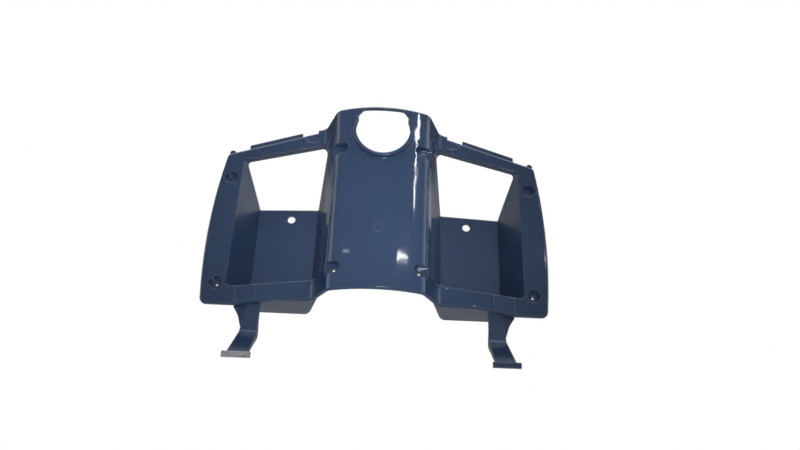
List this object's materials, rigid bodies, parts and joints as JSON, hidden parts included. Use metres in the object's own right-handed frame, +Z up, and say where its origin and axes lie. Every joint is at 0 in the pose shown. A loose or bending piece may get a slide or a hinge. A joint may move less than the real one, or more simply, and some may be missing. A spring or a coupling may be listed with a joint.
{
  "type": "scooter inner panel",
  "caption": "Moulded scooter inner leg shield panel with a convex steering column cover, open glove pockets, a collared steering hole, screw seats and hook legs.",
  "frame": {"origin": "midpoint of the two lower outer screws, on the floors of their seats", "axes": "+X across the scooter to the viewer's right, +Z up the panel, -Y towards the rider"},
  "size_m": [0.4296, 0.12, 0.3292],
  "materials": {
    "panel": "gloss"
  },
  "bodies": {
    "root": {"inner_panel": "panel"}
  },
  "joints": []
}
